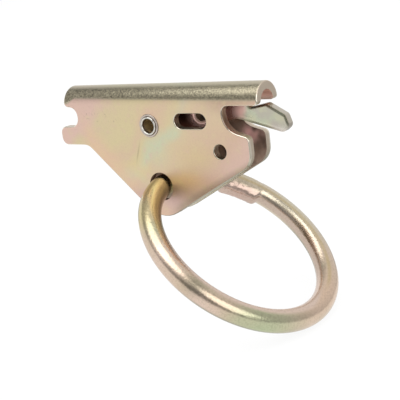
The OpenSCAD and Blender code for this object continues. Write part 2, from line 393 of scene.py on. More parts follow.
def line_object(points, name, thickness=0.0):
    """A line through points, as a mesh: bare and ready to be spun, or thickened to round wire."""
    curve = bpy.data.curves.new(name, "CURVE")
    curve.dimensions = "3D"
    curve.bevel_depth = thickness
    curve.bevel_resolution = WIRE_FACETS
    curve.use_fill_caps = True
    spline = curve.splines.new("POLY")
    spline.points.add(len(points) - 1)
    for knot, at in zip(spline.points, points):
        knot.co = (*at, 1)
    made = bpy.data.objects.new(name, curve)
    bpy.context.scene.collection.objects.link(made)
    pick(made)
    bpy.ops.object.convert(target="MESH")
    return bpy.context.view_layer.objects.active


def close_skin(piece):
    """Merges the points that meet and turns every face outwards."""
    open_mesh(piece)
    bpy.ops.mesh.select_all(action="SELECT")
    bpy.ops.mesh.remove_doubles(threshold=MERGE)
    bpy.ops.mesh.normals_make_consistent(inside=False)
    bpy.ops.object.mode_set(mode="OBJECT")


section = half[::-1] + [(radius, -along) for radius, along in half][1:]
rivet = line_object([PIVOT + Vector((radius, along, 0)) for radius, along in section], "hollow_rivet")
open_mesh(rivet, "VERT")
bpy.ops.mesh.select_all(action="SELECT")
bpy.ops.mesh.spin(steps=SPIN_STEPS, angle=2 * math.pi, center=PIVOT, axis=(0, 1, 0))
close_skin(rivet)
smooth(rivet)
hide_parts("pivot_rivet")
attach(rivet, "body")
print("rivet:", len(rivet.data.polygons), "faces")

# %% [markdown]
# ## The latch spring
#
# Two turns of wire sit round the rivet, between the front plate and the latch. One leg bears under the
# fold, and the other hooks through the latch. The line is worked out from the same fits as the packed
# solid: where the legs touch gives the two angles at which they leave the coil.

# %% Fit the spring
WIRE_R = 0.4 * MM
COIL_GAP = 0.5 * MM
COIL_R = SHANK_R + COIL_GAP + WIRE_R
TURNS = 2
FIXED_LEG = 13 * MM
END_GAP = 0.1 * MM
LEG_GAP = 0.05 * MM
HOOK_HOLE = Vector((13.1, 0, -3.7)) * MM
HOOK_HOLE_R = 2.1 * MM

inner_r = ROLL_R - SHEET
coil_front = -inner_r + END_GAP + WIRE_R
coil_back = latch_low.y - END_GAP - WIRE_R
fixed_rise = ROLL_Z - PIVOT.z + math.sqrt((inner_r - WIRE_R - LEG_GAP) ** 2 - coil_front**2)
hook = HOOK_HOLE + Vector((0, 0, HOOK_HOLE_R - WIRE_R - LEG_GAP)) - PIVOT
fixed_arm = math.hypot(COIL_R, FIXED_LEG)
fixed_angle = math.pi / 2 + math.atan2(COIL_R, FIXED_LEG) - math.asin(fixed_rise / fixed_arm)
hook_angle = math.atan2(hook.z, hook.x) + math.acos(COIL_R / hook.length)
sweep = fixed_angle - hook_angle + 2 * math.pi * TURNS
print("spring turns through", round(math.degrees(sweep)), "degrees")

# %% Wind the spring
TURN_STEPS = 40
BEND_STEPS = 8
HOOK_BEND = 1.2 * MM


def on_coil(angle, y):
    """A point on the coil, in the part's frame."""
    return PIVOT + Vector((COIL_R * math.cos(angle), y, COIL_R * math.sin(angle)))


along_leg = Vector((-math.sin(fixed_angle), 0, math.cos(fixed_angle)))
route = [on_coil(fixed_angle, coil_front) + along_leg * FIXED_LEG]
steps = math.ceil(sweep / (2 * math.pi) * TURN_STEPS)
for step in range(steps + 1):
    share = step / steps
    route.append(on_coil(fixed_angle - sweep * share, coil_front + (coil_back - coil_front) * share))
for step in range(BEND_STEPS + 1):
    turn = math.pi / 2 * step / BEND_STEPS
    bend = Vector((HOOK_BEND * (math.sin(turn) - 1), HOOK_BEND * (1 - math.cos(turn)), 0))
    route.append(PIVOT + Vector((hook.x, coil_back, hook.z)) + bend)
route.append(PIVOT + Vector((hook.x, latch_high.y, hook.z)))
print("spring wire:", round(sum((b - a).length for a, b in zip(route, route[1:])) / MM, 1), "mm long")

# %% [markdown]
# The wire twists when the latch is pressed. Its front end stays with the body and its back end goes with
# the latch.

# %% Thicken the wire
spring = line_object(route, "coil_spring", WIRE_R)
close_skin(spring)
bpy.ops.object.shade_smooth_by_angle(angle=SHARP)
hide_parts("latch_spring")
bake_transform(spring)
print("spring:", len(spring.data.polygons), "faces")

# %% [markdown]
# ## The ring
#
# The ring is round bar bent to a circle, with its ends butt-welded. The weld leaves a collar a little
# thicker than the bar, most of it on the inside of the ring, with a lumpy skin and a seam at its far end.
# A torus gives the bar, its points near the weld are moved out to the collar, and a Displace modifier adds
# the lumps.

# %% Turn the ring
BAR_R = 3.5 * MM
RING_R = 30.5 * MM
RING_STEPS = 720
BAR_STEPS = 48
RING_EYE = next(mount for mount in frame["record"]["mounts"] if mount["name"] == "ring_eye")
RING_AT = Vector(RING_EYE["pos_m"])
towards = (RING_AT - HOLE).normalized()
SWING = math.atan2(-towards.z, towards.x)
RING_UP = Vector((math.sin(SWING), 0, math.cos(SWING)))

deselect_all()
bpy.ops.mesh.primitive_torus_add(
    major_radius=RING_R, minor_radius=BAR_R, major_segments=RING_STEPS, minor_segments=BAR_STEPS,
    location=RING_AT, rotation=(0, SWING, 0))
ring = bpy.context.view_layer.objects.active
ring.name = "welded_ring"
bpy.ops.object.transform_apply(location=True, rotation=True, scale=True)
print("ring swings", round(math.degrees(SWING), 1), "degrees below level")

# %% [markdown]
# Places along the bar are measured as an angle from the hole, positive towards the back of the fitting.
# The weld was struck with the ring lying down, so its metal sagged a little before it set.

# %% Raise the weld
WELD_NEAR = 40
WELD_FAR = 67
NEAR_SLOPE = 3
FAR_SLOPE = 1.4
WELD_RISE = 1.8 * MM
SEAM_DEPTH = 0.02 * MM
SEAM_WIDTH = 0.7
SAG = math.radians(20)
SAG_FOCUS = 5


def round_ring(point):
    """Angle of a point round the ring from the hole, in degrees, positive towards the back."""
    out = point - RING_AT
    return math.degrees(math.atan2(out.y, -out.dot(towards)))


def ramp(value, start, stop):
    """Rises smoothly from 0 at start to 1 at stop."""
    share = min(max((value - start) / (stop - start), 0), 1)
    return share * share * (3 - 2 * share)


def on_collar(point):
    """Place of a point of the plain bar once the weld is on it."""
    angle = round_ring(point)
    collar = ramp(angle, WELD_NEAR - NEAR_SLOPE, WELD_NEAR) * ramp(angle, WELD_FAR, WELD_FAR - FAR_SLOPE)
    seam = ramp(abs(angle - WELD_FAR - SEAM_WIDTH / 2), SEAM_WIDTH / 2, 0)
    turn = math.radians(angle)
    outward = -towards * math.cos(turn) + Vector((0, math.sin(turn), 0))
    normal = (point - RING_AT - outward * RING_R).normalized()
    sag = -outward * math.cos(SAG) - RING_UP * math.sin(SAG)
    facing = (1 + normal.dot(sag)) / 2
    return point + normal * (WELD_RISE * facing**SAG_FOCUS * collar - SEAM_DEPTH * seam)


move_points(ring, on_collar)
print("weld collar from", WELD_NEAR, "to", WELD_FAR, "degrees")

# %% [markdown]
# A vertex group holds how much of the weld there is at each point, so that the lumps fade out at its ends.

# %% Roughen the weld
LUMP_SIZE = 1.5 * MM
LUMP_HEIGHT = 0.36 * MM
LUMP_LEVEL = 0.65
LUMP_SLOPE = 1

weld_group = ring.vertex_groups.new(name="weld")
for vertex in ring.data.vertices:
    angle = round_ring(vertex.co)
    weight = ramp(angle, WELD_NEAR - NEAR_SLOPE, WELD_NEAR) * ramp(angle, WELD_FAR, WELD_FAR - LUMP_SLOPE)
    weld_group.add([vertex.index], weight, "REPLACE")
lumps = bpy.data.textures.new("weld_lumps", "CLOUDS")
lumps.noise_scale = LUMP_SIZE
apply_modifier(
    ring, "DISPLACE", texture=lumps, texture_coords="LOCAL", vertex_group="weld",
    strength=LUMP_HEIGHT, mid_level=LUMP_LEVEL)
pick(ring)
bpy.ops.object.shade_smooth()
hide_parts("ring")
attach(ring, "ring")
print("ring:", len(ring.data.polygons), "faces")

# %% [markdown]
# ## Writing shaders as sums
#
# A finish is a tree of nodes, which is hard to read as lists of links. The class below wraps one socket,
# so that an ordinary sum adds the Math nodes for it. Any other node comes from the method called node.

# %% A class for shader sums
class Shade:
    """One output of a shader node, which can be used in sums."""

    def __init__(self, tree, socket=None):
        self.tree = tree
        self.socket = socket

    def node(self, kind, settings=(), inputs=(), output=0):
        """Adds a node: its settings first, then the values or links of its sockets."""
        made = self.tree.nodes.new(kind)
        for name, value in dict(settings).items():
            if name == "stops":
                self.set_stops(made.color_ramp, value)
            else:
                setattr(made, name, value)
        for key, value in dict(inputs).items():
            if isinstance(value, Shade):
                self.tree.links.new(value.socket, made.inputs[key])
            else:
                made.inputs[key].default_value = value
        return Shade(self.tree, made.outputs[output] if len(made.outputs) else None)

    @staticmethod
    def set_stops(ramp, stops):
        """Sets a ramp's places and colours."""
        while len(ramp.elements) < len(stops):
            ramp.elements.new(1)
        for element, (place, tint) in zip(ramp.elements, stops):
            element.position = place
            element.color = tint

    def sum(self, operation, first, second):
        """A Math node on two values or numbers."""
        return self.node("ShaderNodeMath", {"operation": operation}, {0: first, 1: second})

    def __add__(self, other):
        return self.sum("ADD", self, other)

    __radd__ = __add__

    def __sub__(self, other):
        return self.sum("SUBTRACT", self, other)

    def __rsub__(self, other):
        return self.sum("SUBTRACT", other, self)

    def __mul__(self, other):
        return self.sum("MULTIPLY", self, other)

    __rmul__ = __mul__

    def __truediv__(self, other):
        return self.sum("DIVIDE", self, other)

    def __abs__(self):
        return self.sum("ABSOLUTE", self, 0)


# %% [markdown]
# A few short forms come back in most finishes: a colour as a screen shows it, object coordinates, noise of
# a stated grain size, and a soft step.

# %% Short forms for the finishes
def tint(red, green, blue):
    """A colour as seen on a screen, 0 to 255, in the linear light that shaders use."""
    linear = [((c / 255 + 0.055) / 1.055) ** 2.4 if c > 10 else c / 3295 for c in (red, green, blue)]
    return (*linear, 1)


def place_of(shade):
    """Object coordinates, which here are metres in the part's own frame."""
    return shade.node("ShaderNodeTexCoord", output="Object")


def noise(place, size, detail=2.0, stretch=(1, 1, 1), shift=0.0, harsh=0.5):
    """Noise from about 0 to 1 whose grains are of a stated size. A harsh one has stronger fine detail."""
    laid = place.node("ShaderNodeMapping", {}, {"Vector": place, "Scale": stretch, "Location": (shift,) * 3})
    grains = {"Vector": laid, "Scale": 1 / size, "Detail": detail, "Roughness": harsh}
    return place.node("ShaderNodeTexNoise", {}, grains)


def soft_step(value, start, stop):
    """Rises smoothly from 0 at start to 1 at stop."""
    settings = {"interpolation_type": "SMOOTHSTEP"}
    return value.node("ShaderNodeMapRange", settings, {0: value, 1: start, 2: stop})


# %% [markdown]
# Places are vectors, so they go through Vector Math nodes. A soft spot measures how far a place is from its
# centre, with each axis scaled by the spot's own length, and fades from 1 to 0 over that distance. The
# other helpers mix two colours, start a metal, link a value to it and turn a height into a bump.

# %% Soft spots, mixes and the metal
def vectors(operation, first, second=(0, 0, 0), output=0):
    """A Vector Math node on two vectors. Its output is a vector, or a number where it is called Value."""
    return first.node("ShaderNodeVectorMath", {"operation": operation}, {0: first, 1: second}, output)


def along_way(place, origin, way):
    """Distance of a place from an origin, along one direction."""
    return vectors("DOT_PRODUCT", vectors("SUBTRACT", place, origin), way, "Value")


def patch(place, centre, size):
    """A soft spot: 1 at its centre, 0 at its edge. Size holds its half lengths along the axes, in mm."""
    moved = vectors("SUBTRACT", place, Vector(centre) * MM)
    scaled = vectors("MULTIPLY", moved, Vector([1 / (length * MM) for length in size]))
    return soft_step(vectors("LENGTH", scaled, output="Value"), 1.0, 0.0)


def patches(place, spots):
    """Sum of soft spots. Each has a centre, its half lengths and its strength."""
    return sum(patch(place, centre, size) * strength for centre, size, strength in spots)


def blend_tint(share, first, second):
    """Mix of two colours."""
    return share.node("ShaderNodeMix", {"data_type": "RGBA"}, {0: share, 6: first, 7: second}, 2)


def metal(name):
    """A new material with a metal shader. Returns it with its shader and a start for sums."""
    made = bpy.data.materials.new(name)
    made.use_nodes = True
    shader = made.node_tree.nodes["Principled BSDF"]
    shader.inputs["Metallic"].default_value = 1.0
    return made, shader, Shade(made.node_tree)


def connect(shader, name, value):
    """Links a worked-out value to one of the shader's sockets."""
    value.tree.links.new(value.socket, shader.inputs[name])


def bump(height, distance):
    """A Normal made from a height that varies about 0 to 1 over a stated depth."""
    inputs = {"Strength": 1.0, "Distance": distance, "Height": height}
    return height.node("ShaderNodeBump", {}, inputs, "Normal")


# %% [markdown]
# ## Yellow zinc on the sheet
#
# Zinc plate is dipped in a chromate bath that leaves a clear film. Its thickness varies as it drains, and
# thin films split light, so the plate drifts from rose to straw to pale green and back. A ramp holds that
# order of colours. It runs along a slant, the way the bath drained, and broad noise bends it.

# %% The film's colours
ROSE = tint(224, 193, 179)
PEACH = tint(220, 196, 166)
STRAW = tint(219, 201, 167)
HONEY = tint(219, 204, 163)
SAGE = tint(208, 210, 180)
TAN = tint(217, 188, 165)
FILM = [
    (0.00, ROSE), (0.08, ROSE), (0.16, STRAW), (0.29, HONEY), (0.39, PEACH), (0.47, HONEY),
    (0.55, SAGE), (0.61, STRAW), (0.71, PEACH), (0.83, TAN), (1.00, ROSE),
]
FILM_START = -30 * MM
FILM_STOP = 50 * MM
FILM_RISE = 1.18
FILM_DEPTH = 2.5
FILM_WAVE = 13 * MM
FILM_BEND = 26 * MM


def axes(place):
    """The three coordinates of a place."""
    return [place.node("ShaderNodeSeparateXYZ", {}, {0: place}, name) for name in "XYZ"]


def film(place):
    """The film's colour at a place, along the slant of the draining bath."""
    along, through, up = axes(place)
    drift = (noise(place, FILM_WAVE, 2.0, shift=0.03) - 0.5) * FILM_BEND
    run = along - up * FILM_RISE + (through + PLATE_Y) * FILM_DEPTH + drift
    share = (run - FILM_START) / (FILM_STOP - FILM_START)
    return place.node("ShaderNodeValToRGB", {"stops": FILM}, {0: share})


print("film:", len(FILM), "colours")

# %% [markdown]
# No ramp follows a real film everywhere, so soft patches of single colours are laid over it. Each has a
# centre, its half lengths in mm, a colour and a strength. Three are painted light and shade: an amber
# reflection of the ring right of its hole, shade below the roll and shade beside the ring's hole. The left
# slope has a rose edge, the nose a dull one beside the ring, and the lower right edge is darkened with
# painted shade.

# %% Patches on the sheet
PEACH_PINK = tint(224, 191, 168)
RING_REFLECTION_AMBER = tint(240, 206, 154)
SAND = tint(219, 198, 156)
BUTTER = tint(230, 206, 158)
FOLD_SHADE = tint(196, 168, 148)
RING_SHADE = tint(188, 158, 160)
SLOPE_ROSE = tint(230, 197, 168)
DULL_ROSE = tint(204, 174, 170)
OLIVE = tint(104, 104, 76)
SHEET_PATCHES = [
    ((-1, -6, -13), (7, 3, 9), SAGE, 0.6),
    ((4, -6, -31), (9, 3, 6), ROSE, 0.6),
    # Painted reflection of the ring, right of its hole.
    ((10, -6, -23), (9, 3, 5), RING_REFLECTION_AMBER, 0.5),
    ((14, -6, -16), (12, 3, 8), SAND, 0.8),
    ((14, -6, -2), (12, 3, 8), PEACH, 0.8),
    # Painted shade below the roll.
    ((27, -6, 1), (13, 3, 5), FOLD_SHADE, 0.8),
    ((-2, -6, -4), (9, 3, 8), PEACH_PINK, 0.7),
    ((-12, -6, -4), (6, 3, 9), HONEY, 0.5),
    # Painted shade beside the ring's hole.
    ((3, -6, -28), (8, 3, 6), RING_SHADE, 0.6),
    ((-9, -6, -20), (7, 3, 5), BUTTER, 0.6),
]
SLOPE_AT = Vector((-20, -6, -19)) * MM
SLOPE_WAY = (0.707, 0, 0.707)
NOSE_SPOT = ((-9, -6, -29), (8, 3, 6), 0.6)
LOW_EDGE_AT = Vector((4.5, -6, -32.1)) * MM
LOW_EDGE_WAY = (-0.451, 0, 0.893)
MOTTLE_SIZE = 2.2 * MM
print("patches on the sheet:", len(SHEET_PATCHES))


# %% Lay the sheet's colour
def lay_patches(place, colour, listed):
    """A colour with soft patches of other colours laid over it in turn."""
    for centre, size, hue, strength in listed:
        colour = blend_tint(patch(place, centre, size) * strength, colour, hue)
    return colour


sheet_finish, shader, start = metal("plated_sheet_finish")
place = place_of(start)
along, _, height_up = axes(place)
mottle = noise(place, MOTTLE_SIZE, 3.0)
colour = lay_patches(place, film(place), SHEET_PATCHES)
from_slope = along_way(place, SLOPE_AT, SLOPE_WAY)
by_slope = soft_step(from_slope, 7 * MM, 0) * soft_step(along, -33 * MM, -27 * MM)
colour = blend_tint(by_slope * 0.8, colour, SLOPE_ROSE)
colour = blend_tint(patches(place, [NOSE_SPOT]), colour, DULL_ROSE)
colour = blend_tint(soft_step(mottle, 0.5, 0.8) * 0.4, colour, ROSE)
colour = blend_tint(soft_step(mottle, 0.5, 0.25) * 0.3, colour, HONEY)
# Painted shade along the lower right edge, darker towards the edge.
from_edge = along_way(place, LOW_EDGE_AT, LOW_EDGE_WAY)
painted_edge_shade = soft_step(from_edge, 2.2 * MM, -0.5 * MM) * soft_step(along, 0, 7 * MM)
colour = blend_tint(painted_edge_shade * 0.4, colour, OLIVE)
print("sheet colour:", len(sheet_finish.node_tree.nodes), "nodes")

# %% [markdown]
# The flat plates keep the mill's smooth skin. Over the roll the sheet was drawn round a former, so its
# skin opens into fine pits that hold a darker film. The same noise darkens the pits and dents them.

# %% The roll's skin
ROLL_GREY = tint(200, 196, 172)
ROLL_DULL = tint(186, 178, 152)
GRAIN_SIZE = 0.55 * MM
ROLL_TILT = 0.02
END_DIP = 1.8 * MM

left_end = soft_step(along, -32.5 * MM, -36.5 * MM) * END_DIP
on_roll = soft_step(height_up + along * ROLL_TILT + left_end, 1.7 * MM, 3.0 * MM)
drawn = on_roll * soft_step(height_up, 6.0 * MM, 5.2 * MM)
grain = noise(place, GRAIN_SIZE, 4.0, harsh=0.8)
pits = soft_step(grain, 0.62, 0.36) * drawn
colour = blend_tint(on_roll * 0.75, colour, ROLL_GREY)
colour = blend_tint(drawn * 0.8, colour, ROLL_DULL)
print("with the roll:", len(sheet_finish.node_tree.nodes), "nodes")

# %% [markdown]
# Small marks make the plate believable: two clusters of dark specks and one faint line where a tool
# dragged. They darken the film together with the pits and with painted shade on the low side of the roll.

# %% Specks and a tool line
UMBER = tint(106, 98, 82)
SPECK_SIZE = 0.9 * MM
SPECK_SPOTS = [((-20, -6, -3.5), (8, 3, 3), 1.0), ((-27, -6, -2), (4, 3, 3), 1.0)]
DRAG_AT = Vector((-6.9, -6, -10.5)) * MM
DRAG_WAY = (0.939, 0, -0.344)
DRAG_SPOT = ((-8.4, -6, -14.6), (6, 3, 5.5))
BY_RING = ((9, -6, -25), (16, 3, 8))
PIT_DEPTH = 0.045 * MM

specks = soft_step(noise(place, SPECK_SIZE, 1.0, shift=0.02), 0.62, 0.72) * patches(place, SPECK_SPOTS)
off_line = abs(along_way(place, DRAG_AT, DRAG_WAY))
drag = soft_step(off_line, 0.45 * MM, 0.1 * MM) * patch(place, *DRAG_SPOT)
# Painted shade: the low side of the roll is darkened.
painted_roll_shade = drawn * soft_step(height_up, 4.4 * MM, 2.8 * MM) * soft_step(along, -22 * MM, 2 * MM)
dark_pits = pits * (0.7 + soft_step(along, 5 * MM, -15 * MM) * 0.3)
marks_and_shade = specks * 0.5 + drag * 0.25 + dark_pits + soft_step(grain, 0.4, 0.7) * 0.08 + painted_roll_shade * 0.22
connect(shader, "Base Color", blend_tint(marks_and_shade, colour, UMBER))
connect(shader, "Roughness", 0.28 + mottle * 0.12 - drawn * 0.1 + patch(place, *BY_RING) * 0.15)
connect(shader, "Normal", bump(grain * (0.03 + drawn), PIT_DEPTH))
print("sheet finish:", len(sheet_finish.node_tree.nodes), "nodes")

# %% [markdown]
# Inside the fold the film is a deep mauve, which is partly painted shade. It pales to straw towards the
# open lower edges, painted light where light comes in, and warms to coral inside the two open ends of the
# roll. A painted rosy sheen lies in the mouth, and painted brown shade lies round the ring's hole.

# %% The inside of the fold
PLUM = tint(150, 128, 116)
DUSK_ROSE = tint(204, 180, 164)
CORAL = tint(250, 208, 192)
PAINTED_SHEEN = tint(240, 182, 178)
PALE_STRAW = tint(240, 234, 212)
HOLLOW_SHADE = tint(104, 68, 56)
PAINTED_SHEEN_SPOT = ((28.8, 3.5, -10), (5.5, 2, 4.5))
HOLE_SHADE_SPOT = ((-7, 3.5, -27), (17, 3, 14))

inside_finish, shader, start = metal("inside_finish")
place = place_of(start)
along, _, up = axes(place)
drift = noise(place, 6 * MM, 2.0, shift=0.05)
fine = noise(place, 0.7 * MM, 3.0)
# Plum and dusky rose: film colour darkened as painted shade inside the fold.
colour = blend_tint(soft_step(drift, 0.35, 0.65), PLUM, DUSK_ROSE)
# Painted light: paler towards the open lower edges.
colour = blend_tint(soft_step(up + (drift - 0.5) * 6 * MM, -19 * MM, -25 * MM), colour, PALE_STRAW)
# Painted highlight in the mouth, made less metallic so that it shows.
painted_sheen = patch(place, *PAINTED_SHEEN_SPOT) * soft_step(drift, 0.3, 0.6)
colour = blend_tint(painted_sheen, colour, PAINTED_SHEEN)
# Painted brown shade round the ring's hole.
colour = blend_tint(patch(place, *HOLE_SHADE_SPOT), colour, HOLLOW_SHADE)
in_roll = soft_step(up, 0, 1.5 * MM)
colour = blend_tint(in_roll * soft_step(abs(along), 26 * MM, 33 * MM), colour, CORAL)
connect(shader, "Base Color", colour)
connect(shader, "Metallic", 1 - painted_sheen * 0.7)
connect(shader, "Roughness", 0.42 + fine * 0.2)
connect(shader, "Normal", bump(fine, 0.02 * MM))
print("inside finish:", len(inside_finish.node_tree.nodes), "nodes")

# %% [markdown]
# ## Sheared edges
#
# A punch shears part of the thickness cleanly and tears the rest, so a cut edge has a bright burnished
# band and a dull rough one. On the plates and the latch the thickness runs along Y. The two plates of the
# folded body face opposite ways, so the depth is measured there from the nearer outside face. Painted
# shade darkens the low edges and the rims of the slot and the small hole, and a painted brown shade lies
# round the ring's hole, in the mouth and in the small hole. The right end of the roll is rose.

# %% The cut edges' finish
EDGE_PALE = tint(240, 230, 212)
EDGE_TORN = tint(216, 201, 182)
LATCH_EDGE_PALE = tint(202, 194, 180)
LATCH_EDGE_TORN = tint(190, 178, 160)
END_ROSE = tint(226, 192, 176)
SHADED_RIM_SPOTS = [((13.3, -5, -4.5), (10, 4, 6), 0.8), ((23, -5, -13.7), (5, 4, 5), 0.8)]
HOLLOW_SHADE_SPOTS = [
    (HOLE / MM, (16, 60, 16), 1.0),
    ((25, -5, -5), (7, 4, 8), 0.8),
    ((23, -4.5, -13.7), (5, 4, 5), 0.4),
]
ROLL_END_SPOT = ((33, 3, 4), (5, 7, 5), 0.7)
BODY_CLEAN = 0.3
LATCH_CLEAN = 0.72


def edge_finish(name, depth_of, clean, pale, dull):
    """Cut edge: burnished for a share of its depth, then torn."""
    made, shader, start = metal(name)
    place = place_of(start)
    _, through, up = axes(place)
    wander = noise(place, 1.2 * MM, 3.0) - 0.5
    torn = soft_step(depth_of(through) + wander * 0.3, clean, clean + 0.12)
    scratches = noise(place, 0.3 * MM, 2.0, (1, 0.15, 1))
    # Painted shade on the low edges and on the rims of the slot and the small hole.
    painted_rim_shade = soft_step(up, -14 * MM, -18 * MM) * 0.65 + patches(place, SHADED_RIM_SPOTS)
    colour = blend_tint(painted_rim_shade, blend_tint(torn, pale, dull), OLIVE)
    colour = blend_tint(patches(place, [ROLL_END_SPOT]), colour, END_ROSE)
    # Painted brown shade round the ring's hole, in the mouth and in the small hole.
    connect(shader, "Base Color", blend_tint(patches(place, HOLLOW_SHADE_SPOTS), colour, HOLLOW_SHADE))
    connect(shader, "Roughness", 0.2 + torn * 0.25)
    connect(shader, "Normal", bump(scratches * (0.1 + torn), 0.03 * MM))
    return made


def body_depth(through):
    """Share of the sheet's thickness below the nearer outside face of the body."""
    return (ROLL_R - abs(through)) / SHEET


def latch_depth(through):
    """Share of the latch's thickness below its back face."""
    return (latch_high.y - through) / (latch_high.y - latch_low.y)


sheet_edge = edge_finish("sheet_edge_finish", body_depth, BODY_CLEAN, EDGE_PALE, EDGE_TORN)
latch_edge = edge_finish("latch_edge_finish", latch_depth, LATCH_CLEAN, LATCH_EDGE_PALE, LATCH_EDGE_TORN)
print("edge finishes:", sheet_edge.name, latch_edge.name)

# %% [markdown]
# ## The latch, ring, rivet and spring
#
# The latch came out pale green, with blooms of straw and lilac, more lilac near its tip, and rose where it
# passes under the fold. A dark line is painted along its drawn rim, a painted reflection of the dim room,
# and the low side of the tip is painted grey and matt, standing in for the light on a facet that the mesh
# lacks. Where the plates keep the light off it, and along its low side, it is painted partly matt, because
# a mirror there would show only the dark.

# %% The latch's finish
LATCH_SAGE = tint(190, 194, 171)
LATCH_ROSE = tint(232, 190, 180)
LATCH_LILAC = tint(186, 176, 167)
LATCH_STRAW = tint(204, 202, 170)
TIP_GREY = tint(184, 174, 172)
LILAC_SPOT = ((39.5, 0, -7), (4.5, 4, 2.5), 0.8)
TIP_SPOT = ((40.5, 0.5, -9), (6.5, 6, 2.6))
MATT_SPOTS = [((28.2, 0, -3), (5.5, 4, 5), 1.0), ((15.5, 0, -4.5), (9, 4, 6), 1.0)]
LOW_RIM_AT = Vector((34.3, 0.5, -6.7)) * MM
LOW_RIM_WAY = (0.28, 0, 0.96)

latch_finish, shader, start = metal("plated_latch_finish")
place = place_of(start)
along, through, height_up = axes(place)
drift = noise(place, 6 * MM, 2.0, shift=0.07)
bloom = noise(place, 3.5 * MM, 3.0, shift=0.21)
to_tip = along - (height_up + 3 * MM) * 0.6 + (drift - 0.5) * 6 * MM
under_fold = soft_step(to_tip, 30.3 * MM, 27 * MM)
colour = blend_tint(soft_step(drift, 0.5, 0.7) * 0.6, LATCH_SAGE, LATCH_LILAC)
colour = blend_tint(soft_step(bloom, 0.45, 0.65) * 0.5, colour, LATCH_STRAW)
colour = blend_tint(patches(place, [LILAC_SPOT]), colour, LATCH_LILAC)
colour = blend_tint(under_fold, colour, LATCH_ROSE)
print("latch colour:", len(latch_finish.node_tree.nodes), "nodes")

# %% The latch's rim
from_front = through - latch_low.y
# Painted dark reflection along the drawn rim.
painted_rim_dark = soft_step(from_front, 0.02 * MM, 0.16 * MM) * soft_step(from_front, 1.2 * MM, 0.8 * MM)
# The low side of the tip: painted grey, standing in for the light on a missing facet.
low_tip = patch(place, *TIP_SPOT)
colour = blend_tint(painted_rim_dark * (1 - low_tip) * 0.42, colour, OLIVE)
connect(shader, "Base Color", blend_tint(low_tip * 0.8, colour, TIP_GREY))
from_low = along_way(place, LOW_RIM_AT, LOW_RIM_WAY)
low_line = soft_step(from_low, 1.1 * MM, 0.6 * MM) * (1 - low_tip) * (1 - under_fold)
matt = patches(place, MATT_SPOTS) + low_tip
connect(shader, "Metallic", 1 - matt * 0.8 - low_line * 0.45)
fine = noise(place, 0.6 * MM, 3.0)
connect(shader, "Roughness", 0.18 + fine * 0.1)
connect(shader, "Normal", bump(fine, 0.015 * MM))
print("latch finish:", len(latch_finish.node_tree.nodes), "nodes")

# %% [markdown]
# The film turns round the ring: gold near the hole, pale green and apricot opposite, and cream at the back.
# A ramp on broad noise, from blush to wheat to leaf green, gives the base, and patches of single colours
# are laid over it, as on the sheet. The two shade patches are painted shade: below the low front of the
# ring, and over a dimmed stretch of highlight.

# %% The bar's colour
GOLD = tint(218, 202, 148)
BLUSH = tint(227, 203, 187)
APRICOT = tint(222, 194, 170)
CREAM = tint(220, 210, 188)
LEAF = tint(186, 193, 158)
WHEAT = tint(211, 191, 168)
SHADE = tint(142, 138, 116)
BAR_FILM = [(0.25, BLUSH), (0.55, WHEAT), (0.9, LEAF)]
BAR_PATCHES = [
    ((2, -9, -29), (14, 22, 16), GOLD, 0.9),
    ((41, -23, -61), (19, 22, 12), LEAF, 1.0),
    # Painted shade below the ring's low front.
    ((47, -20, -67), (16, 16, 5), SHADE, 0.8),
    ((47, 4, -59), (10, 22, 9), APRICOT, 1.0),
    ((3, -25, -29), (11, 14, 9), GOLD, 0.8),
    # Painted shade that dims the highlight.
    ((28, -32, -45), (6, 5, 5), SHADE, 0.6),
    ((22, 31, -44), (30, 24, 28), CREAM, 1.0),
    ((10, 31, -27), (16, 16, 10), LEAF, 0.5),
]

bar_finish, shader, start = metal("plated_bar_finish")
place = place_of(start)
drift = noise(place, 14 * MM, 2.0, shift=0.11)
colour = place.node("ShaderNodeValToRGB", {"stops": BAR_FILM}, {0: drift})
colour = lay_patches(place, colour, BAR_PATCHES)
print("bar colour:", len(bar_finish.node_tree.nodes), "nodes")

# %% [markdown]
# Bands follow the bar round. The inside of the ring is blush in front, fawn behind and mauve on the weld,
# a bronze line runs along the back, and painted shade darkens the underside and the inner stretch by the
# hole. The drawn bar is smooth but finely pitted, so its highlights break up at their edges.

# %% Bands round the bar
MAUVE = tint(204, 174, 162)
FAWN = tint(198, 177, 163)
BRONZE = tint(196, 174, 124)
WELD_SPOT = ((7, 23, -34), (10, 9, 8))
INNER_DEEPER = 3.3 * MM
BRONZE_IN = 0.9 * MM

through = axes(place)[1]
out = vectors("DISTANCE", place, RING_AT, "Value") - RING_R
at_back = soft_step(through, 6 * MM, 14 * MM)
from_hole = start.sum("MAXIMUM", soft_step(along_way(place, HOLE, towards), 12 * MM, 26 * MM), at_back)
bronze_line = soft_step(abs(out + BRONZE_IN), 0.9 * MM, 0.2 * MM) * at_back
colour = blend_tint(bronze_line * 0.5, colour, BRONZE)
inner = blend_tint(soft_step(through, 8 * MM, 20 * MM), BLUSH, FAWN)
inner = blend_tint(patch(place, *WELD_SPOT), inner, MAUVE)
deeper = soft_step(through, -6 * MM, 12 * MM) * INNER_DEEPER
colour = blend_tint(soft_step(out + deeper, 1.0 * MM, -0.5 * MM) * from_hole, colour, inner)
# Painted shade on the ring's underside.
under = soft_step(along_way(place, RING_AT, RING_UP), -0.6 * MM, -2.2 * MM)
under = under * soft_step(along_way(place, RING_AT, towards), -4 * MM, 12 * MM)
